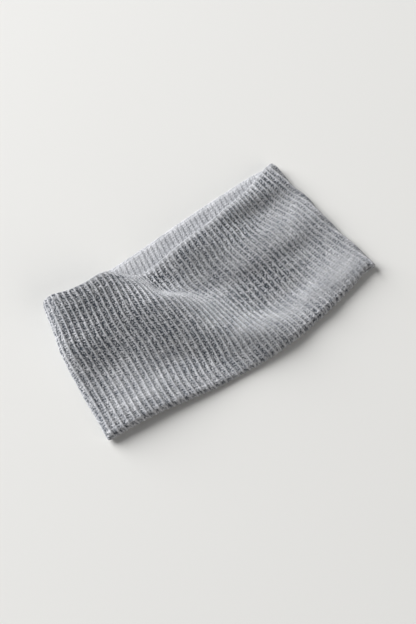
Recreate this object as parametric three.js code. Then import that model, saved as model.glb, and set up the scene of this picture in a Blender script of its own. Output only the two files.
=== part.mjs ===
// A ribbed knit headband: one seamless tube of rib knit, lying flattened in two layers.
// Millimetres. X runs along the band, Y across its width towards the open back edge, Z is up.
// The origin is on the resting surface, under the middle of the band's box.

import * as THREE from 'three';

// The cloth
const RIBS = 108;
const RIBS_ON_TOP = { front: 51.5, back: 55.5 };
const WALL = 2.0;
const RIB_RELIEF = 0.35;

// How the tube lies
const LOWER_LAYER_Z = WALL / 2 - RIB_RELIEF;
const SIDE_BEND_TO_HEIGHT = 0.5;
const FRONT_ROLL = 3;

// Centre the band's box on the origin
const BAND_OFFSET = { x: -0.41, y: -5.98 };

// Plan of the two side folds, from the front edge (v 0) to the back edge (v 1)
const SIDE_FOLDS = [
  { v: 0.0, left: -127.5, right: 127.4 },
  { v: 0.15, left: -126.2, right: 124.4 },
  { v: 0.3, left: -125.4, right: 121.6 },
  { v: 0.5, left: -123.5, right: 117.8 },
  { v: 0.62, left: -122.0, right: 117.2 },
  { v: 0.75, left: -118.5, right: 114.2 },
  { v: 0.9, left: -114.6, right: 112.0 },
  { v: 1.0, left: -112.5, right: 111.4 },
];

// The lower layer lies flat, with its back edge bowed out a little
const LOWER_FRONT_EDGE = [
  { x: -127.5, y: -61.5 },
  { x: 127.4, y: -58.9 },
];
const LOWER_BACK_EDGE = [
  { x: -112.5, y: 59.4 },
  { x: -50.0, y: 58.0 },
  { x: 30.0, y: 62.1 },
  { x: 60.0, y: 63.2 },
  { x: 90.0, y: 63.8 },
  { x: 111.4, y: 62.0 },
];

// The upper layer bulges forwards over the lower one, and its back edge is pulled in at a tuck
const UPPER_FRONT_EDGE = [
  { x: -127.5, y: -61.5 },
  { x: -100.0, y: -63.0 },
  { x: -80.0, y: -65.0 },
  { x: -60.0, y: -68.4 },
  { x: -30.0, y: -72.8 },
  { x: 10.0, y: -75.2 },
  { x: 40.0, y: -74.0 },
  { x: 60.0, y: -71.2 },
  { x: 80.0, y: -67.8 },
  { x: 100.0, y: -63.4 },
  { x: 112.0, y: -60.2 },
  { x: 121.0, y: -57.4 },
  { x: 127.4, y: -58.9 },
];
const UPPER_BACK_EDGE = [
  { x: -112.5, y: 59.4 },
  { x: -90.0, y: 52.2 },
  { x: -75.0, y: 50.3 },
  { x: -60.0, y: 50.7 },
  { x: -49.5, y: 44.6 },
  { x: -40.0, y: 39.4 },
  { x: -31.0, y: 37.2 },
  { x: -10.0, y: 38.6 },
  { x: 30.0, y: 41.6 },
  { x: 50.0, y: 45.2 },
  { x: 80.0, y: 51.8 },
  { x: 111.4, y: 62.0 },
];

// Height of the upper layer's front edge, where it rolls down
const FRONT_EDGE_Z = [
  { x: -127.5, z: 4.0 },
  { x: -90.0, z: 3.6 },
  { x: -60.0, z: 2.6 },
  { x: -30.0, z: 1.8 },
  { x: 60.0, z: 1.5 },
  { x: 90.0, z: 1.8 },
  { x: 105.0, z: 2.6 },
  { x: 112.0, z: 3.6 },
  { x: 120.0, z: 4.4 },
  { x: 127.4, z: 4.2 },
];

// Heights of the upper layer in sections across the band, a row for each section. In each one the cloth
// rises from a toe over the crest of the long fold, drops to its foot and rises again over a hump.
const LEFT_PANEL_X = -100;
const RIGHT_PANEL_X = 90;
const SECTIONS = namedRows(
  [
    'y', 'toeX', 'crestX', 'footX', 'humpX',
    'leftFold', 'left', 'toe', 'crest', 'foot', 'hump', 'right', 'rightFold',
  ],
  [
    [-78, -18, 36, 58, 74, 7.0, 8.0, 3.8, 6.4, 5.2, 5.2, 4.2, 3.8],
    [-64, -24, 22, 54, 72, 7.2, 8.2, 4.6, 10.2, 6.6, 7.0, 5.8, 5.0],
    [-52, -34, 8, 49, 68, 7.4, 8.6, 4.8, 12.6, 5.6, 7.0, 7.2, 6.4],
    [-40, -48, -4, 39, 66, 7.0, 7.6, 5.0, 13.2, 4.2, 5.0, 6.6, 6.2],
    [-28, -64, -15, 31, 62, 7.0, 6.6, 6.6, 13.8, 5.2, 6.6, 5.6, 5.8],
    [-15, -78, -28, 22, 56, 8.0, 7.0, 8.2, 15.4, 6.2, 8.8, 6.0, 6.0],
    [-3, -76, -38, 9, 45, 10.2, 10.4, 11.8, 17.8, 6.5, 12.2, 9.2, 7.0],
    [8, -80, -47, -2, 41, 13.4, 14.2, 14.8, 19.8, 7.2, 13.4, 9.8, 8.0],
    [18, -84, -56, -13, 32, 15.2, 15.8, 16.8, 20.4, 8.0, 14.4, 7.8, 6.8],
    [30, -86, -64, -22, 20, 16.4, 17.0, 19.0, 21.6, 9.6, 17.0, 6.6, 6.0],
    [45, -88, -70, -33, 15, 17.4, 20.6, 23.0, 24.4, 10.2, 18.8, 10.6, 7.6],
    [70, -88, -72, -44, 14, 19.4, 24.6, 26.8, 27.6, 9.4, 19.8, 10.0, 7.4],
  ],
);

// The steep step that runs down the flank of the long fold, with the ribs gathered along it
const TUCK = namedRows(
  ['y', 'x', 'drop', 'halfWidth', 'gather'],
  [
    [-62, 26, 0, 12, 0.1],
    [-47, 9, 0.2, 11, 0.3],
    [-27, -1, 0.6, 10, 0.4],
    [-12, -6, 1.6, 8, 0.45],
    [3, -17, 4.4, 4.5, 0.7],
    [13, -31, 5, 4, 0.8],
    [27, -37, 4.6, 4, 0.8],
    [40, -43, 3, 5, 0.4],
    [56, -50, 2, 7, 0.1],
  ],
);
const GATHER_TO_STEP = 1.5;

// Smaller folds of the upper layer, each a ridge or, with a negative height, a crease
const FOLDS = [
  { name: 'right crease', from: [104, 9], to: [122, 11], height: -0.9, halfWidth: 2.5 },
  { name: 'crease at the tuck', from: [-32, 40], to: [-25, 26], height: -1.0, halfWidth: 1.5 },
];

// Places where the ribs lie closer together or further apart
const GATHERS = [
  { name: 'right panel, back', x: 62, y: 38, halfLength: 14, halfWidth: 22, density: 0.3 },
  { name: 'left panel', x: -85, y: -2, halfLength: 35, halfWidth: 24, density: -0.08 },
  { name: 'right panel, front', x: 85, y: -14, halfLength: 26, halfWidth: 26, density: 0.08 },
];

// Mesh resolution: a ridge and a valley for each rib, and rows across the band's width
const COLUMNS = 2 * RIBS;
const OUTER_ROWS = [0, 0.01, 0.026, 0.08, 0.18, 0.28, 0.38, 0.48, 0.58, 0.69, 0.8, 0.91, 1];
const INNER_ROWS = [0.014, 0.036, 0.13, 0.24, 0.34, 0.45, 0.56, 0.68, 0.8, 0.91, 0.985];
const LOOP_SAMPLES = 480;
const RIB_STEP = 0.2;
const ROW_STEP = 0.01;

// Rows of numbers as objects with a named value for each column
function namedRows(columns, rows) {
  return rows.map((row) => Object.fromEntries(columns.map((name, i) => [name, row[i]])));
}

// A smooth curve through the rows of a table that never overshoots them
function curve(table, key, at, value) {
  const last = table.length - 1;
  if (at <= table[0][key]) return table[0][value];
  if (at >= table[last][key]) return table[last][value];
  let i = 0;
  while (at > table[i + 1][key]) i += 1;
  const width = table[i + 1][key] - table[i][key];
  const t = (at - table[i][key]) / width;
  const start = table[i][value];
  const end = table[i + 1][value];
  const startSlope = slopeAt(table, key, value, i) * width;
  const endSlope = slopeAt(table, key, value, i + 1) * width;
  const s = t * t * (3 - 2 * t);
  return start + (end - start) * s + t * (1 - t) * ((1 - t) * startSlope - t * endSlope);
}

function slopeAt(table, key, value, i) {
  if (i === 0 || i === table.length - 1) return 0;
  const before = (table[i][value] - table[i - 1][value]) / (table[i][key] - table[i - 1][key]);
  const after = (table[i + 1][value] - table[i][value]) / (table[i + 1][key] - table[i][key]);
  if (before * after <= 0) return 0;
  return (2 * before * after) / (before + after);
}

// A rise that starts steeply and levels out
function easeOut(t) {
  const s = 1 - Math.min(Math.max(t, 0), 1);
  return 1 - s * s;
}

// A quarter circle's rise, for the bends at the side folds
function quarterRound(t) {
  const s = 1 - Math.min(Math.max(t, 0), 1);
  return Math.sqrt(1 - s * s);
}

function foldHeight(fold, x, y) {
  const dx = fold.to[0] - fold.from[0];
  const dy = fold.to[1] - fold.from[1];
  const along = ((x - fold.from[0]) * dx + (y - fold.from[1]) * dy) / (dx * dx + dy * dy);
  const t = Math.min(Math.max(along, 0), 1);
  const away = Math.hypot(x - fold.from[0] - t * dx, y - fold.from[1] - t * dy);
  return fold.height * Math.exp(-((away / fold.halfWidth) ** 2));
}

// The values of a table's columns at y
function valuesAt(table, y) {
  const values = {};
  for (const name of Object.keys(table[0])) values[name] = curve(table, 'y', y, name);
  return values;
}

// Height of the upper layer's middle surface over a point of the plan
function upperHeight(x, y, leftX, rightX) {
  const at = valuesAt(SECTIONS, y);
  const profile = [
    { x: leftX, z: at.leftFold },
    { x: LEFT_PANEL_X, z: at.left },
    { x: at.toeX, z: at.toe },
    { x: at.crestX, z: at.crest },
    { x: at.footX, z: at.foot },
    { x: at.humpX, z: at.hump },
    { x: RIGHT_PANEL_X, z: at.right },
    { x: rightX, z: at.rightFold },
  ];
  const tuck = valuesAt(TUCK, y);
  const away = (x - tuck.x) / tuck.halfWidth;
  let z = curve(profile, 'x', x, 'z') - (tuck.drop / 2) * Math.tanh(away) * Math.exp(-((away / 4) ** 2));
  for (const fold of FOLDS) z += foldHeight(fold, x, y);
  return z;
}

// How many times closer than usual the ribs lie at a point of the upper layer
function ribDensity(x, y) {
  const tuck = valuesAt(TUCK, y);
  const away = (x - tuck.x) / (GATHER_TO_STEP * tuck.halfWidth);
  let density = 1 + tuck.gather * Math.exp(-(away ** 2));
  for (const spot of GATHERS) {
    const u = (x - spot.x) / spot.halfLength;
    const w = (y - spot.y) / spot.halfWidth;
    density += spot.density * Math.exp(-u * u - w * w);
  }
  return density;
}

// One loop round the tube at v across its width: the upper layer from left to right, then the lower one
// back, each with the length of cloth up to every sample.
function makeLoop(v) {
  const leftX = curve(SIDE_FOLDS, 'v', v, 'left');
  const rightX = curve(SIDE_FOLDS, 'v', v, 'right');
  const ribsOnTop = THREE.MathUtils.lerp(RIBS_ON_TOP.front, RIBS_ON_TOP.back, v);
  const upper = [];
  const lower = [];
  const endY = (x) => THREE.MathUtils.lerp(
    curve(LOWER_FRONT_EDGE, 'x', x, 'y'),
    curve(LOWER_BACK_EDGE, 'x', x, 'y'),
    v,
  );
  const foldZ = {
    left: upperHeight(leftX, endY(leftX), leftX, rightX),
    right: upperHeight(rightX, endY(rightX), leftX, rightX),
  };
  for (let i = 0; i <= LOOP_SAMPLES; i += 1) {
    const x = leftX + ((rightX - leftX) * (1 - Math.cos((Math.PI * i) / LOOP_SAMPLES))) / 2;
    const fromFold = Math.min(x - leftX, rightX - x);
    const nearFoldZ = x - leftX < rightX - x ? foldZ.left : foldZ.right;
    const apexZ = (nearFoldZ + LOWER_LAYER_Z) / 2;
    const bend = quarterRound(fromFold / (SIDE_BEND_TO_HEIGHT * nearFoldZ));
    lower.push(new THREE.Vector3(x, endY(x), apexZ + (LOWER_LAYER_Z - apexZ) * bend));

    const frontY = curve(UPPER_FRONT_EDGE, 'x', x, 'y');
    const backY = curve(UPPER_BACK_EDGE, 'x', x, 'y');
    const y = THREE.MathUtils.lerp(frontY, backY, v);
    const edgeZ = curve(FRONT_EDGE_Z, 'x', x, 'z');
    const height = upperHeight(x, y, leftX, rightX);
    const z = edgeZ + (height - edgeZ) * easeOut((y - frontY) / FRONT_ROLL);
    upper.push(new THREE.Vector3(x, y, apexZ + (z - apexZ) * bend));
  }
  lower.reverse();
  return { v, ribsOnTop, upper: measured(upper, ribDensity), lower: measured(lower, () => 1) };
}

function measured(points, density) {
  const lengths = [0];
  for (let i = 1; i < points.length; i += 1) {
    const a = points[i - 1];
    const b = points[i];
    const here = density((a.x + b.x) / 2, (a.y + b.y) / 2);
    lengths.push(lengths[i - 1] + a.distanceTo(b) * here);
  }
  return { points, lengths };
}

function pointAlong(side, share) {
  const { points, lengths } = side;
  const target = share * lengths[lengths.length - 1];
  let low = 0;
  let high = lengths.length - 1;
  while (high - low > 1) {
    const half = (low + high) >> 1;
    if (lengths[half] <= target) low = half;
    else high = half;
  }
  const t = (target - lengths[low]) / (lengths[high] - lengths[low]);
  return points[low].clone().lerp(points[high], t);
}

// The cloth's middle surface at a rib number, counted round the tube from the left fold
function clothPoint(loop, rib) {
  const wrapped = ((rib % RIBS) + RIBS) % RIBS;
  if (wrapped <= loop.ribsOnTop) return pointAlong(loop.upper, wrapped / loop.ribsOnTop);
  return pointAlong(loop.lower, (wrapped - loop.ribsOnTop) / (RIBS - loop.ribsOnTop));
}

function clothFrame(v, rib) {
  const here = clothPoint(loopAt(v), rib);
  const along = clothPoint(loopAt(v), rib + RIB_STEP).sub(clothPoint(loopAt(v), rib - RIB_STEP));
  const ahead = clothPoint(loopAt(Math.min(v + ROW_STEP, 1)), rib);
  const across = ahead.sub(clothPoint(loopAt(Math.max(v - ROW_STEP, 0)), rib)).normalize();
  return { here, across, normal: along.cross(across).normalize() };
}

const loops = new Map();

function loopAt(v) {
  const key = v.toFixed(4);
  if (!loops.has(key)) loops.set(key, makeLoop(v));
  return loops.get(key);
}

// A point of one face of the cloth. side is 1 on the outside of the tube, -1 on the inside and 0 halfway,
// where the edge bulges out by hem. The knit is pressed flat on the surface that it lies on.
function facePoint(v, rib, side, hem) {
  const { here, across, normal } = clothFrame(v, rib);
  const relief = RIB_RELIEF * Math.cos(2 * Math.PI * rib);
  here.addScaledVector(normal, (side * WALL) / 2 + relief);
  here.addScaledVector(across, hem);
  here.z = Math.max(here.z, 0);
  return here;
}

// The rows round the wall: out over the outside, round the back edge, back along the inside and round
// the front edge.
function wallRows() {
  const rows = OUTER_ROWS.map((v) => ({ v, side: 1, hem: 0 }));
  rows.push({ v: 1, side: 0, hem: WALL / 3 });
  for (const v of [...INNER_ROWS].reverse()) rows.push({ v, side: -1, hem: 0 });
  rows.push({ v: 0, side: 0, hem: -WALL / 3 });
  return rows;
}

function bandGeometry() {
  const rows = wallRows();
  const positions = [];
  for (const row of rows) {
    for (let c = 0; c < COLUMNS; c += 1) {
      const point = facePoint(row.v, (c * RIBS) / COLUMNS, row.side, row.hem);
      positions.push(point.x - BAND_OFFSET.x, point.y - BAND_OFFSET.y, point.z);
    }
  }
  const triangles = [];
  for (let r = 0; r < rows.length; r += 1) {
    const nextRow = (r + 1) % rows.length;
    for (let c = 0; c < COLUMNS; c += 1) {
      const nextColumn = (c + 1) % COLUMNS;
      const a = r * COLUMNS + c;
      const b = r * COLUMNS + nextColumn;
      const d = nextRow * COLUMNS + c;
      const e = nextRow * COLUMNS + nextColumn;
      triangles.push(a, b, e, a, e, d);
    }
  }
  const geometry = new THREE.BufferGeometry();
  geometry.setAttribute('position', new THREE.Float32BufferAttribute(positions, 3));
  geometry.setIndex(triangles);
  geometry.computeVertexNormals();
  return geometry;
}

const heatherGreyKnit = new THREE.MeshStandardMaterial({ color: 0x9b9ea3, roughness: 0.95, metalness: 0 });

const band = new THREE.Mesh(bandGeometry(), heatherGreyKnit);
band.name = 'rib_knit_band';

const headband = new THREE.Group();
headband.add(band);

export default headband;
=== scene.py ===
"""A ribbed knit headband that lies flattened in two layers, seen from above on a pale surface."""

import math

import bpy
import numpy as np
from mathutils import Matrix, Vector


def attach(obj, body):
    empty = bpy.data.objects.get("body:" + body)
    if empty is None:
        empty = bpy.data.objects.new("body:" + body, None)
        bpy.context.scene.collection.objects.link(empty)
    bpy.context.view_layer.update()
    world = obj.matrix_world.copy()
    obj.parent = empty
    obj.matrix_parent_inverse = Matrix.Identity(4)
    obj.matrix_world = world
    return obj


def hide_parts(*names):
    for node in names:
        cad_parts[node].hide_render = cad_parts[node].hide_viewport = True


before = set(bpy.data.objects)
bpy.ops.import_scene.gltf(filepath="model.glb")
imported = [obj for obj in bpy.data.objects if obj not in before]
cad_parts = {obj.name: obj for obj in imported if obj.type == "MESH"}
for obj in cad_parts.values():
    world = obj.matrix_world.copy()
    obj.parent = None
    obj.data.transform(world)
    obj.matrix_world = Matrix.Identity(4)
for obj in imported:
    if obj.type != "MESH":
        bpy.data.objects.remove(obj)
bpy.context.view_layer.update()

MM = 0.001

# The cloth, in millimetres
BAND_WIDTH = 124
WALL = 1.9
RIB_WIDTH = 4.7
COURSE_WIDTH = 2.3
COURSES = 54

# Ribs round the whole tube, and how many of them lie on the upper layer at its two edges
RIBS = 108
RIBS_ON_TOP_FRONT = 51.5
RIBS_ON_TOP_BACK = 55.5

# Height of a ridge and depth of a groove, with the share of it that stands where the grooves lie closed and
# what each unit of the groove depth field adds. The sharpness narrows the ridges and widens the grooves.
RIB_RELIEF = 0.65
RELIEF_CLOSED = 0.5
RELIEF_PER_GROOVE_DEPTH = 0.65
RIDGE_SHARPNESS = 2.4
INSIDE_FLATNESS = 0.7

# Uneven height of the yarn on the outside
YARN_ROUGHNESS = 0.12
YARN_SEED = 7

# The edges: the width they are worked over, the share of the relief that they lose, how far they reach out in
# wall thicknesses, how much the back one thins, and the bead inside the front one, placed in hem widths
HEM_WIDTH = 2
BACK_FLATNESS = 0.85
FRONT_FLATNESS = 0.3
BACK_REACH = 0.25
FRONT_REACH = 0.4
BACK_THINNING = 0.7
FRONT_BEAD = 0.3
FRONT_BEAD_PLACE = 0.5

# How the tube lies
LOWER_LAYER_Z = 0.8
SIDE_BEND_TO_HEIGHT = 0.5
FRONT_ROLL = 3

# Centre of the band's box, which is the origin of the frame
BAND_OFFSET = (-0.41, -5.98)

# Plan of the two side folds, from the front edge (v 0) to the back edge (v 1)
SIDE_FOLD_V = (0.0, 0.15, 0.3, 0.5, 0.62, 0.75, 0.9, 1.0)
LEFT_FOLD_X = (-127.5, -126.2, -125.4, -123.5, -122.0, -118.5, -114.6, -112.5)
RIGHT_FOLD_X = (127.4, 124.4, 121.6, 117.8, 117.2, 114.2, 112.0, 111.4)

# Edges of the two layers in plan, as (x, y)
LOWER_FRONT_EDGE = ((-127.5, -61.5), (127.4, -58.9))
LOWER_BACK_EDGE = ((-112.5, 59.4), (-50.0, 58.0), (30.0, 62.1), (60.0, 63.2), (90.0, 63.8), (111.4, 62.0))
UPPER_FRONT_EDGE = (
    (-127.5, -61.5), (-100.0, -63.0), (-80.0, -65.0), (-60.0, -68.4), (-30.0, -72.8), (10.0, -75.2),
    (40.0, -74.0), (60.0, -71.2), (80.0, -67.8), (100.0, -63.4), (112.0, -60.2), (121.0, -57.4),
    (127.4, -58.9),
)
UPPER_BACK_EDGE = (
    (-112.5, 59.4), (-90.0, 52.2), (-75.0, 50.3), (-60.0, 50.7), (-49.5, 44.6), (-40.0, 39.4),
    (-31.0, 37.2), (-10.0, 38.6), (30.0, 41.6), (50.0, 45.2), (80.0, 51.8), (111.4, 62.0),
)

# Height of the upper layer's front edge, as (x, z)
FRONT_EDGE_Z = (
    (-127.5, 4.0), (-90.0, 3.6), (-60.0, 2.6), (-30.0, 1.8), (60.0, 1.5), (90.0, 1.8), (105.0, 2.6),
    (112.0, 3.6), (120.0, 4.4), (127.4, 4.2),
)

# Heights of the upper layer in sections across the band. In each section the cloth rises from a toe over
# the crest of the long fold, drops to its foot and rises again over a hump.
LEFT_PANEL_X = -100
RIGHT_PANEL_X = 90
SECTION_COLUMNS = (
    "y", "toe_x", "crest_x", "foot_x", "hump_x",
    "left_fold", "left", "toe", "crest", "foot", "hump", "right", "right_fold",
)
SECTIONS = np.array((
    (-78, -18, 36, 58, 74, 7.0, 8.0, 3.8, 6.4, 5.2, 5.2, 4.2, 3.8),
    (-64, -24, 22, 54, 72, 7.2, 8.2, 4.6, 10.2, 6.6, 7.0, 5.8, 5.0),
    (-52, -34, 8, 49, 68, 7.4, 8.6, 4.8, 12.6, 5.6, 7.0, 7.2, 6.4),
    (-40, -48, -4, 39, 66, 7.0, 7.6, 5.0, 13.2, 4.2, 5.0, 6.6, 6.2),
    (-28, -64, -15, 31, 62, 7.0, 6.6, 6.6, 13.8, 5.2, 6.6, 5.6, 5.8),
    (-15, -78, -28, 22, 56, 8.0, 7.0, 8.2, 15.4, 6.2, 8.8, 6.0, 6.0),
    (-3, -76, -38, 9, 45, 10.2, 10.4, 11.8, 17.8, 6.5, 12.2, 9.2, 7.0),
    (8, -80, -47, -2, 41, 13.4, 14.2, 14.8, 19.8, 7.2, 13.4, 9.8, 8.0),
    (18, -84, -56, -13, 32, 15.2, 15.8, 16.8, 20.4, 8.0, 14.4, 7.8, 6.8),
    (30, -86, -64, -22, 20, 16.4, 17.0, 19.0, 21.6, 9.6, 17.0, 6.6, 6.0),
    (45, -88, -70, -33, 15, 17.4, 20.6, 23.0, 24.4, 10.2, 18.8, 10.6, 7.6),
    (70, -88, -72, -44, 14, 19.4, 24.6, 26.8, 27.6, 9.4, 19.8, 10.0, 7.4),
))

# The steep step that runs down the flank of the long fold, with the ribs gathered along it. The gather's
# half width and the reach of the step's flanks are multiples of the step's half width.
TUCK_COLUMNS = ("y", "x", "drop", "half_width", "gather")
TUCK = np.array((
    (-62, 26, 0.0, 12, 0.1),
    (-47, 9, 0.2, 11, 0.3),
    (-27, -1, 0.6, 10, 0.4),
    (-12, -6, 1.6, 8, 0.45),
    (3, -17, 4.4, 4.5, 0.7),
    (13, -31, 5.0, 4, 0.8),
    (27, -37, 4.6, 4, 0.8),
    (40, -43, 3.0, 5, 0.4),
    (56, -50, 2.0, 7, 0.1),
))
GATHER_TO_STEP = 1.5
TUCK_REACH = 4

# Smaller folds of the upper layer: (from x, from y, to x, to y, height, half width)
FOLDS = ((104, 9, 122, 11, -0.9, 2.5), (-32, 40, -25, 26, -1.0, 1.5))

# Places where the ribs lie closer together or further apart: (x, y, half length, half width, density)
GATHERS = ((62, 38, 14, 22, 0.3), (-85, -2, 35, 24, -0.08), (85, -14, 26, 26, 0.08))

# How deep the grooves between the ribs lie and how dark they are painted. The field sets the rib relief and
# the grooves' darkening, which is partly the darker ground of the knit and partly painted shade, deepest
# where the
# cloth lies in shade; the same field paints the ridges lighter there, a painted highlight:
# (x, y, half length, half width, depth and shade)
USUAL_GROOVE_DEPTH_AND_SHADE = 0.75
GROOVE_DEPTH_AND_SHADE_SPOTS = (
    (-85, 14, 42, 26, 0.45),
    (-75, 48, 35, 12, 0.3),
    (-28, 25, 12, 8, 0.8),
    (-45, -14, 20, 16, 0.3),
    (-15, -46, 26, 14, 0.35),
    (25, 36, 30, 10, 0.2),
    (54, 27, 16, 11, 0.5),
    (44, -22, 27, 13, 0.55),
    (95, 50, 22, 10, 0.3),
    (85, -66, 45, 8, 0.25),
    (-25, 10, 12, 10, -0.22),
    (-85, -44, 30, 10, -0.2),
    (45, -54, 45, 10, -0.4),
    (100, -48, 28, 15, -0.52),
    (85, 10, 30, 14, -0.2),
    (2, -46, 13, 9, -0.42),
)

# Ribs that lie closer together close their grooves by this share of how much closer they lie
CLOSING = 0.8
SMALLEST_SPACING = 0.5

# Groove shade (the knit's darker ground and painted shade) of the inside and the underside, which fades in
# over the first ribs past each side fold
HIDDEN_GROOVE_SHADE = 0.35
FADE_RIBS = 2

# The grooves' darkening (darker ground and painted shade) fades out along the back edge, from one x to
# another and for a narrow width
GROOVE_SHADE_FADE_START_X = -95
GROOVE_SHADE_FADE_FULL_X = -70
GROOVE_SHADE_FADE_WIDTH = 2.4

# Mesh resolution, with the step that gives the direction out of an edge
COLUMNS_PER_RIB = 8
OUTER_ROWS = 60
INNER_ROWS = 40
ROWS_TO_EDGES = 0.75
EDGE_STEP = 0.01
LOOP_SAMPLES = 480


def pick(table, index):
    """The entry of each row of the table that the index names."""
    return np.take_along_axis(table, index, -1)[..., 0]


def curve(keys, values, at):
    """A smooth curve through the values that never overshoots them. Each point may have keys of its own."""
    at = np.asarray(at, float)
    keys = np.broadcast_to(np.asarray(keys, float), at.shape + (np.shape(keys)[-1],))
    values = np.broadcast_to(np.asarray(values, float), keys.shape)
    count = keys.shape[-1]
    rises = np.diff(values) / np.diff(keys)
    before, after = rises[..., :-1], rises[..., 1:]
    same_way = before * after > 0
    inner = np.where(same_way, 2 * before * after / np.where(same_way, before + after, 1), 0)
    slopes = np.zeros(keys.shape)
    slopes[..., 1:-1] = inner
    i = np.clip((at[..., None] >= keys).sum(-1) - 1, 0, count - 2)[..., None]
    width = pick(keys, i + 1) - pick(keys, i)
    t = np.clip((at - pick(keys, i)) / width, 0, 1)
    start, end = pick(values, i), pick(values, i + 1)
    bend = (1 - t) * pick(slopes, i) * width - t * pick(slopes, i + 1) * width
    return start + (end - start) * t * t * (3 - 2 * t) + t * (1 - t) * bend


def edge(points, x):
    """The curve through an edge's points, at x."""
    xs, ys = zip(*points)
    return curve(xs, ys, x)


def quarter_round(t):
    """Rises from 0 to 1 along a quarter of a circle."""
    return np.sqrt(1 - (1 - np.clip(t, 0, 1)) ** 2)


def spots(table, x, y):
    """Sum of soft spots, each with its place, its two half sizes and its height."""
    total = 0
    for spot_x, spot_y, half_length, half_width, height in table:
        away = ((x - spot_x) / half_length) ** 2 + ((y - spot_y) / half_width) ** 2
        total = total + height * np.exp(-away)
    return total


def table_at(columns, table, y):
    """The values of a table's columns at y, by name."""
    return {name: curve(table[:, 0], table[:, i], y) for i, name in enumerate(columns)}


def upper_height(x, y, left_x, right_x):
    """Height of the upper layer's middle surface over points of the plan."""
    at = table_at(SECTION_COLUMNS, SECTIONS, y)
    full = np.ones_like(x)
    keys = np.stack(
        [left_x * full, LEFT_PANEL_X * full, at["toe_x"], at["crest_x"], at["foot_x"], at["hump_x"],
         RIGHT_PANEL_X * full, right_x * full], -1)
    heights = np.stack(
        [at["left_fold"], at["left"], at["toe"], at["crest"], at["foot"], at["hump"], at["right"],
         at["right_fold"]], -1)
    z = curve(keys, heights, x)
    tuck = table_at(TUCK_COLUMNS, TUCK, y)
    away = (x - tuck["x"]) / tuck["half_width"]
    z = z - tuck["drop"] / 2 * np.tanh(away) * np.exp(-((away / TUCK_REACH) ** 2))
    for x0, y0, x1, y1, height, half_width in FOLDS:
        dx, dy = x1 - x0, y1 - y0
        t = np.clip(((x - x0) * dx + (y - y0) * dy) / (dx * dx + dy * dy), 0, 1)
        away = np.hypot(x - x0 - t * dx, y - y0 - t * dy)
        z = z + height * np.exp(-((away / half_width) ** 2))
    return z


def rib_density(x, y):
    """How many times closer than usual the ribs lie at points of the upper layer."""
    tuck = table_at(TUCK_COLUMNS, TUCK, y)
    away = (x - tuck["x"]) / (GATHER_TO_STEP * tuck["half_width"])
    return 1 + tuck["gather"] * np.exp(-(away**2)) + spots(GATHERS, x, y)


def even_density(x, y):
    """The lower layer's ribs all lie equally close."""
    return 1


def groove_depth_and_shade(x, y):
    """How deep the grooves lie and how much shade is painted into them, at points of the plan."""
    return USUAL_GROOVE_DEPTH_AND_SHADE + spots(GROOVE_DEPTH_AND_SHADE_SPOTS, x, y)


def ribs_on_top(v):
    """How many ribs the upper layer has at v across the width."""
    return RIBS_ON_TOP_FRONT + (RIBS_ON_TOP_BACK - RIBS_ON_TOP_FRONT) * v


def lengths_along(points, density):
    """Length along a row of points up to each one, with every step weighted by the density of the ribs."""
    steps = np.linalg.norm(np.diff(points, axis=0), axis=1)
    middles = (points[1:] + points[:-1]) / 2
    return np.concatenate([[0], np.cumsum(steps * density(middles[:, 0], middles[:, 1]))])


def spread(points, lengths, shares):
    """Points at the given shares of a row's whole length."""
    return np.stack([np.interp(shares * lengths[-1], lengths, points[:, k]) for k in range(3)], -1)


def cloth_row(v, ribs):
    """Points of the cloth's middle surface at v across the width, at ribs numbered from the left fold."""
    left_x = curve(SIDE_FOLD_V, LEFT_FOLD_X, v)
    right_x = curve(SIDE_FOLD_V, RIGHT_FOLD_X, v)
    x = left_x + (right_x - left_x) * (1 - np.cos(np.linspace(0, math.pi, LOOP_SAMPLES + 1))) / 2
    lower_y = (1 - v) * edge(LOWER_FRONT_EDGE, x) + v * edge(LOWER_BACK_EDGE, x)
    front_y = edge(UPPER_FRONT_EDGE, x)
    upper_y = (1 - v) * front_y + v * edge(UPPER_BACK_EDGE, x)

    fold_z = upper_height(x[[0, -1]], lower_y[[0, -1]], left_x, right_x)
    near_left = x - left_x < right_x - x
    apex = (np.where(near_left, fold_z[0], fold_z[1]) + LOWER_LAYER_Z) / 2
    bend_width = SIDE_BEND_TO_HEIGHT * np.where(near_left, fold_z[0], fold_z[1])
    bend = quarter_round(np.where(near_left, x - left_x, right_x - x) / bend_width)
    lower_z = apex + (LOWER_LAYER_Z - apex) * bend

    edge_z = edge(FRONT_EDGE_Z, x)
    height = upper_height(x, upper_y, left_x, right_x)
    from_edge = np.clip((upper_y - front_y) / FRONT_ROLL, 0, 1)
    rolled = edge_z + (height - edge_z) * (2 - from_edge) * from_edge
    upper_z = apex + (rolled - apex) * bend

    upper = np.stack([x, upper_y, upper_z], -1)
    lower = np.stack([x, lower_y, lower_z], -1)[::-1]
    on_top = ribs_on_top(v)
    above = spread(upper, lengths_along(upper, rib_density), np.clip(ribs / on_top, 0, 1))
    past_fold = np.clip((ribs - on_top) / (RIBS - on_top), 0, 1)
    below = spread(lower, lengths_along(lower, even_density), past_fold)
    return np.where((ribs <= on_top)[:, None], above, below)


def cloth_grid(rows, ribs):
    """The middle surface on a grid, with unit vectors across its width and out of the tube."""
    points = np.stack([cloth_row(v, ribs) for v in rows])
    along = np.roll(points, -1, axis=1) - np.roll(points, 1, axis=1)
    across = np.gradient(points, axis=0)
    across /= np.linalg.norm(across, axis=-1, keepdims=True)
    normal = np.cross(along, across)
    normal /= np.linalg.norm(normal, axis=-1, keepdims=True)
    return points, across, normal


def rib_profile(ribs):
    """1 along the top of each outside ridge and -1 in the wider groove beside it."""
    return 2 * (0.5 + 0.5 * np.cos(2 * math.pi * ribs)) ** RIDGE_SHARPNESS - 1


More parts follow.
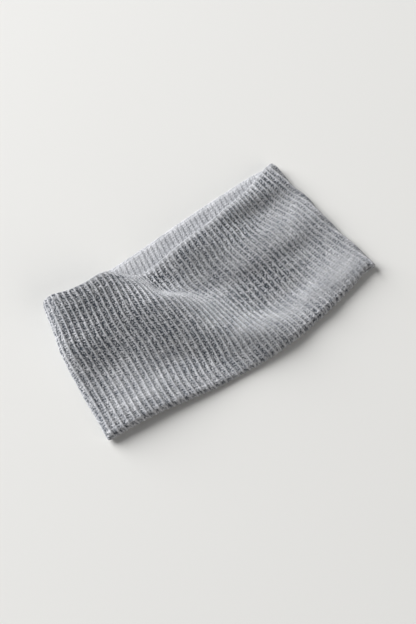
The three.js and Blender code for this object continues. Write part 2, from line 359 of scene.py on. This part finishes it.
def knit_face(rows, ribs, side, reach=0.0):
    """One face of the cloth: side is 1 outside the tube, -1 inside and 0 halfway, at an edge that reaches out
    across the width.
    """
    points, across, normal = cloth_grid(rows, ribs)
    to_front = rows * BAND_WIDTH / HEM_WIDTH
    to_back = (1 - rows) * BAND_WIDTH / HEM_WIDTH
    at_front = np.exp(-(to_front**2))
    at_back = np.exp(-(to_back**2))
    relief_share = RELIEF_CLOSED + RELIEF_PER_GROOVE_DEPTH * groove_depth_and_shade(points[..., 0], points[..., 1])
    relief = RIB_RELIEF * relief_share * (1 - BACK_FLATNESS * at_back - FRONT_FLATNESS * at_front)[:, None]
    if side < 0:
        relief *= 1 - INSIDE_FLATNESS
    bead = FRONT_BEAD * np.exp(-((to_front - FRONT_BEAD_PLACE) ** 2))
    half_wall = WALL / 2 * (1 - BACK_THINNING * at_back) + bead
    offset = side * half_wall[:, None] + relief * rib_profile(ribs)[None, :]
    if side > 0:
        offset += YARN_ROUGHNESS * np.random.default_rng(YARN_SEED).uniform(-1, 1, offset.shape)
    return points + normal * offset[..., None] + across * reach


def rows_across(count):
    """Places across the width, closer together near both edges."""
    t = np.linspace(0, 1, count)
    return t - ROWS_TO_EDGES * np.sin(2 * math.pi * t) / (2 * math.pi)


def groove_shade_at(rows, ribs, v, side):
    """How dark the grooves are painted at each point of the rows, which are in the band's frame: partly the
    knit's darker ground, partly painted shade.
    """
    spacing = np.linalg.norm(np.roll(rows, -COLUMNS_PER_RIB, axis=1) - rows, axis=-1)
    closeness = np.clip(RIB_WIDTH / np.maximum(spacing, SMALLEST_SPACING) - 1, 0, 1)
    plan_x = rows[..., 0] + BAND_OFFSET[0]
    plan_y = rows[..., 1] + BAND_OFFSET[1]
    groove_shade = (1 - CLOSING * closeness) * groove_depth_and_shade(plan_x, plan_y)

    past_fold = np.minimum(ribs - ribs_on_top(v[:, None]), RIBS - ribs)
    hidden = np.where(side[:, None] > 0, np.clip(past_fold / FADE_RIBS, 0, 1), 1)
    groove_shade += (HIDDEN_GROOVE_SHADE - groove_shade) * hidden

    along = (rows[..., 0] - GROOVE_SHADE_FADE_START_X) / (GROOVE_SHADE_FADE_FULL_X - GROOVE_SHADE_FADE_START_X)
    to_back = (1 - v[:, None]) * BAND_WIDTH / GROOVE_SHADE_FADE_WIDTH
    return groove_shade * (1 - np.clip(along, 0, 1) * np.exp(-(to_back**2)))


def band_points():
    """Rows of points round the wall: outside, back edge, inside and front edge. With them come each row's
    place across the width, its side of the wall, and the groove shade at its points, which is partly the
    knit's darker ground and partly painted shade.
    """
    ribs = np.arange(RIBS * COLUMNS_PER_RIB) / COLUMNS_PER_RIB
    outer_v = rows_across(OUTER_ROWS)
    inner_v = rows_across(INNER_ROWS)[::-1]
    outer = knit_face(outer_v, ribs, 1)
    inner = knit_face(inner_v[::-1], ribs, -1)[::-1]
    edge_pair = np.array([0.0, EDGE_STEP])
    front = knit_face(edge_pair, ribs, 0, -WALL * FRONT_REACH)[:1]
    back = knit_face(1 - edge_pair[::-1], ribs, 0, WALL * BACK_REACH)[1:]
    rows = np.concatenate([outer, back, inner, front])
    v = np.concatenate([outer_v, [1.0], inner_v, [0.0]])
    side = np.concatenate([np.ones(len(outer_v)), [0.0], -np.ones(len(inner_v)), [0.0]])
    rows[..., 0] -= BAND_OFFSET[0]
    rows[..., 1] -= BAND_OFFSET[1]
    rows[..., 2] = np.maximum(rows[..., 2], 0)
    return rows * MM, v, side, groove_shade_at(rows, ribs, v, side)


def band_mesh():
    """The closed wall. Its map knit holds the rib and the course, and its map face the side and the groove
    shade, which is partly the knit's darker ground and partly painted shade.
    """
    rows, v, side, groove_shade = band_points()
    height, width = rows.shape[:2]
    r, c = np.meshgrid(np.arange(height), np.arange(width), indexing="ij")
    next_r, next_c = (r + 1) % height, (c + 1) % width
    quads = np.stack([r * width + c, r * width + next_c, next_r * width + next_c, next_r * width + c], -1)
    mesh = bpy.data.meshes.new("rib_knit")
    mesh.from_pydata(rows.reshape(-1, 3).tolist(), [], quads.reshape(-1, 4).tolist())
    u0 = c / COLUMNS_PER_RIB
    u1 = (c + 1) / COLUMNS_PER_RIB
    v0, v1 = v[r], v[next_r]
    s0, s1 = side[r], side[next_r]
    corners_u = np.stack([u0, u1, u1, u0], -1)
    corners_v = np.stack([v0, v0, v1, v1], -1) * COURSES
    layer = mesh.uv_layers.new(name="knit")
    layer.data.foreach_set("uv", np.stack([corners_u, corners_v], -1).ravel())
    faces = mesh.uv_layers.new(name="face")
    sides = np.stack([s0, s0, s1, s1], -1)
    groove_shades = np.stack([groove_shade[r, c], groove_shade[r, next_c], groove_shade[next_r, next_c], groove_shade[next_r, c]], -1)
    faces.data.foreach_set("uv", np.stack([sides, groove_shades], -1).ravel())
    mesh.shade_smooth()
    mesh.update()
    return mesh


class Graph:
    """A material's nodes, made and wired one by one."""

    def __init__(self, name):
        self.material = bpy.data.materials.new(name)
        self.material.use_nodes = True
        self.tree = self.material.node_tree
        self.shader = self.tree.nodes["Principled BSDF"]

    def node(self, kind, settings=(), inputs=()):
        node = self.tree.nodes.new(kind)
        for name, value in dict(settings).items():
            setattr(node, name, value)
        for name, value in dict(inputs).items():
            self.set(node.inputs[name], value)
        return node

    def set(self, socket, value):
        if isinstance(value, bpy.types.NodeSocket):
            self.tree.links.new(value, socket)
        else:
            socket.default_value = value

    def math(self, operation, *values):
        node = self.node("ShaderNodeMath", {"operation": operation})
        for socket, value in zip(node.inputs, values):
            self.set(socket, value)
        return node.outputs[0]

    def uv(self, layer):
        split = self.node("ShaderNodeSeparateXYZ")
        self.set(split.inputs[0], self.node("ShaderNodeUVMap", {"uv_map": layer}).outputs[0])
        return split.outputs[0], split.outputs[1]

    def vector(self, x, y):
        return self.node("ShaderNodeCombineXYZ", (), {0: x, 1: y}).outputs[0]

    def noise(self, place, scale, detail=2.0, roughness=0.5):
        """Noise about zero, from -0.5 to 0.5."""
        inputs = {"Vector": place, "Scale": scale, "Detail": detail, "Roughness": roughness}
        factor = self.node("ShaderNodeTexNoise", {"noise_dimensions": "2D"}, inputs).outputs[0]
        return self.math("SUBTRACT", factor, 0.5)

    def total(self, start, *terms):
        """The start value plus each weight times its value."""
        for weight, value in terms:
            start = self.math("MULTIPLY_ADD", value, weight, start)
        return start

    def mix(self, factor, first, second):
        node = self.node("ShaderNodeMix", {"data_type": "RGBA"})
        for socket, value in ((node.inputs[0], factor), (node.inputs[6], first), (node.inputs[7], second)):
            self.set(socket, value)
        return node.outputs[2]


# The knit's finish: how narrow the pale ridges are, its noises for each millimetre, and its grain's height
RIDGE_TONE_SHARPNESS = 3.6
PATCH_SCALE = 0.09
BLOB_SCALE = 0.6
BLOB_STRETCH = 0.6
GRAIN_SCALE = 0.9
GRAIN_HEIGHT = 0.6

# Colours of the yarn, each from one to another over the noise. The dark one is reached in the grooves, where
# it stands partly for the knit's darker ground and partly for painted shade.
DARK_YARN_AND_GROOVE_SHADE = ((0.082, 0.095, 0.118, 1), (0.093, 0.101, 0.114, 1))
LIGHT_YARN = ((0.665, 0.68, 0.71, 1), (0.69, 0.69, 0.72, 1))


def knit_material():
    """Heathered rib knit: pale ridges, darker mottled grooves with rungs across, and a soft nap. The grooves'
    darkness is partly the knit's darker ground and partly painted shade, and the ridges carry a painted
    highlight where that shade is deepest.
    """
    g = Graph("heather_grey_knit")
    rib, course = g.uv("knit")
    side, groove_shade = g.uv("face")

    wave = g.math("COSINE", g.math("MULTIPLY", rib, 2 * math.pi))
    inside = g.math("LESS_THAN", side, -0.01)
    outward = g.math("MULTIPLY", wave, g.total(1.0, (-2.0, inside)))
    ridge = g.math("POWER", g.total(0.5, (0.5, outward)), RIDGE_TONE_SHARPNESS)
    # The grooves' darkening: partly the knit's darker ground, partly painted shade that the groove shade
    # field deepens
    groove = g.math("MULTIPLY", g.math("SUBTRACT", 1.0, ridge), groove_shade)

    along_x = g.math("MULTIPLY", rib, RIB_WIDTH)
    along_y = g.math("MULTIPLY", course, COURSE_WIDTH)
    place = g.vector(along_x, along_y)
    long_place = g.vector(along_x, g.math("MULTIPLY", along_y, BLOB_STRETCH))
    patches = g.noise(place, PATCH_SCALE)
    blobs = g.noise(long_place, BLOB_SCALE, detail=2.0, roughness=0.6)
    grains = g.noise(place, GRAIN_SCALE, detail=1.0, roughness=0.5)

    phase = g.total(0.0, (1.0, course), (0.12, outward), (0.9, blobs))
    rungs = g.math("COSINE", g.math("MULTIPLY", phase, 2 * math.pi))

    rough = g.total(0.0, (1.0, blobs), (1.0, grains))
    shade_scaled_rough = g.math("MULTIPLY", groove_shade, rough)
    groove_rough = g.math("MULTIPLY", groove, shade_scaled_rough)
    rung_groove = g.math("MULTIPLY", groove, rungs)
    hem = g.math("SUBTRACT", 1.0, g.math("ABSOLUTE", side))
    # The groove shade field lifts the tone everywhere, a painted highlight on the ridges, while through the
    # grooves it takes the tone down as painted shade
    tone = g.total(
        0.725,
        (0.1, groove_shade),
        (-0.5, groove),
        (1.5, groove_rough),
        (0.22, shade_scaled_rough),
        (0.25, rough),
        (0.4, patches),
        (0.12, rung_groove),
        (0.035, rungs),
        (0.1, inside),
        (-0.15, hem),
    )
    tone = g.math("MINIMUM", g.math("MAXIMUM", tone, 0.0), 1.0)
    dark = g.mix(g.total(0.5, (2.0, patches)), *DARK_YARN_AND_GROOVE_SHADE)
    light = g.mix(g.total(0.5, (1.5, blobs)), *LIGHT_YARN)
    g.set(g.shader.inputs["Base Color"], g.mix(tone, dark, light))

    height = g.total(0.0, (0.05, rungs), (0.7, grains), (0.9, blobs))
    bump = g.node("ShaderNodeBump", (), {"Strength": 1.0, "Distance": GRAIN_HEIGHT * MM, "Height": height})
    g.set(g.shader.inputs["Normal"], bump.outputs[0])
    g.shader.inputs["Roughness"].default_value = 0.95
    g.shader.inputs["Specular IOR Level"].default_value = 0.2
    g.shader.inputs["Sheen Weight"].default_value = 0.25
    g.shader.inputs["Sheen Roughness"].default_value = 0.5
    return g.material


def make_band():
    band = bpy.data.objects.new("rib_knit", band_mesh())
    bpy.context.collection.objects.link(band)
    band.data.materials.append(knit_material())
    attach(band, "root")
    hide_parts("rib_knit_band")


# The studio, in metres
FLOOR_HALF_WIDTH = 20.0
FLOOR_COLOR = (0.8, 0.8, 0.79, 1)
DOME_COLOR = (0.95, 0.97, 1.0, 1)
DOME_STRENGTH = 0.17
VIEW_GAMMA = 0.85


def make_floor():
    half = FLOOR_HALF_WIDTH
    corners = [(-half, -half, 0), (half, -half, 0), (half, half, 0), (-half, half, 0)]
    mesh = bpy.data.meshes.new("floor")
    mesh.from_pydata(corners, [], [(0, 1, 2, 3)])
    floor = bpy.data.objects.new("floor", mesh)
    bpy.context.collection.objects.link(floor)
    material = bpy.data.materials.new("pale_surface")
    material.use_nodes = True
    shader = material.node_tree.nodes["Principled BSDF"]
    shader.inputs["Base Color"].default_value = FLOOR_COLOR
    shader.inputs["Roughness"].default_value = 0.8
    floor.data.materials.append(material)


# The camera, in millimetres
CAMERA_PLACE = (-200.09, -298.12, 905.6)
CAMERA_TARGET = (-5.69, -9.92, 0.0)
LENS = 70
SENSOR = 36


def make_camera():
    data = bpy.data.cameras.new("camera")
    data.lens = LENS
    data.sensor_width = SENSOR
    camera = bpy.data.objects.new("camera", data)
    bpy.context.collection.objects.link(camera)
    place = Vector(CAMERA_PLACE) * MM
    target = Vector(CAMERA_TARGET) * MM
    camera.location = place
    camera.rotation_euler = (target - place).to_track_quat("-Z", "Y").to_euler()
    bpy.context.scene.camera = camera


def area_light(name, place, size, power, color):
    """A round light that points at the origin."""
    data = bpy.data.lights.new(name, "AREA")
    data.shape = "DISK"
    data.size = size
    data.energy = power
    data.color = color
    light = bpy.data.objects.new(name, data)
    bpy.context.collection.objects.link(light)
    light.location = place
    light.rotation_euler = (-Vector(place)).to_track_quat("-Z", "Y").to_euler()


def make_lights():
    area_light("key", place=(-2.3, 5.2, 2.8), size=5.6, power=815, color=(1.0, 0.995, 0.985))
    area_light("fill", place=(1.8, -4.2, 1.9), size=4.6, power=75, color=(1.0, 0.95, 0.88))
    world = bpy.data.worlds.new("studio")
    world.use_nodes = True
    background = world.node_tree.nodes["Background"]
    background.inputs["Color"].default_value = DOME_COLOR
    background.inputs["Strength"].default_value = DOME_STRENGTH
    bpy.context.scene.world = world
    bpy.context.scene.view_settings.view_transform = "Standard"
    bpy.context.scene.view_settings.gamma = VIEW_GAMMA


make_camera()
make_floor()
make_lights()
make_band()
